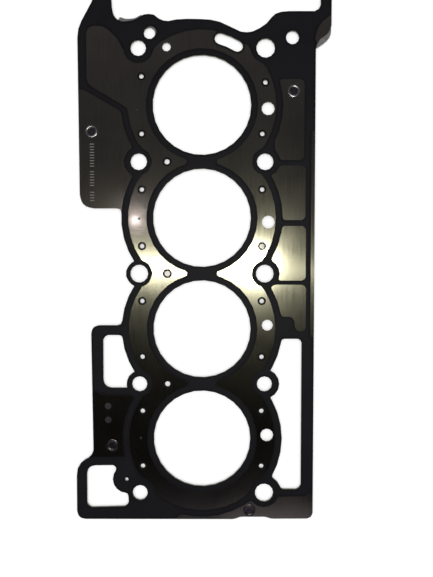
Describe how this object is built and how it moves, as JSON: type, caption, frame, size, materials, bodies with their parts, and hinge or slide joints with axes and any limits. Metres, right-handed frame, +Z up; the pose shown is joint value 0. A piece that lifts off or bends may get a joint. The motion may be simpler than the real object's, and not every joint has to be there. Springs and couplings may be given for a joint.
{
  "type": "cylinder head gasket",
  "caption": "Riveted multi-layer steel head gasket for an in-line engine: bead layers, spacer, stopper rings and black elastomer sealing bands.",
  "frame": {"origin": "on the underside, in the middle of the web between the second and third bore", "axes": "+Z up from the block face towards the cylinder head, +Y along the row of bores towards the timing end, +X towards the side with the long window"},
  "size_m": [0.2063, 0.4325, 0.0022],
  "materials": {
    "bead_steel_upper": "cold-rolled spring steel, satin, with a faint golden cast",
    "bead_steel_lower": "cold-rolled spring steel, satin",
    "spacer_steel": "zinc-plated sheet, matt grey",
    "stopper_steel": "stainless strip, satin",
    "elastomer_coating": "screen-printed black elastomer, low sheen",
    "rivet_steel": "bright pressed steel"
  },
  "bodies": {
    "root": {"bottom_bead_layer": "bead_steel_lower", "spacer_layer": "spacer_steel", "stopper_ring_1": "stopper_steel", "stopper_ring_2": "stopper_steel", "stopper_ring_3": "stopper_steel", "stopper_ring_4": "stopper_steel", "top_bead_layer": "bead_steel_upper", "bore_coating": "elastomer_coating", "perimeter_coating": "elastomer_coating", "rivet_left_upper": "rivet_steel", "rivet_right": "rivet_steel", "rivet_left_lower": "rivet_steel", "rivet_bottom": "rivet_steel"}
  },
  "joints": []
}
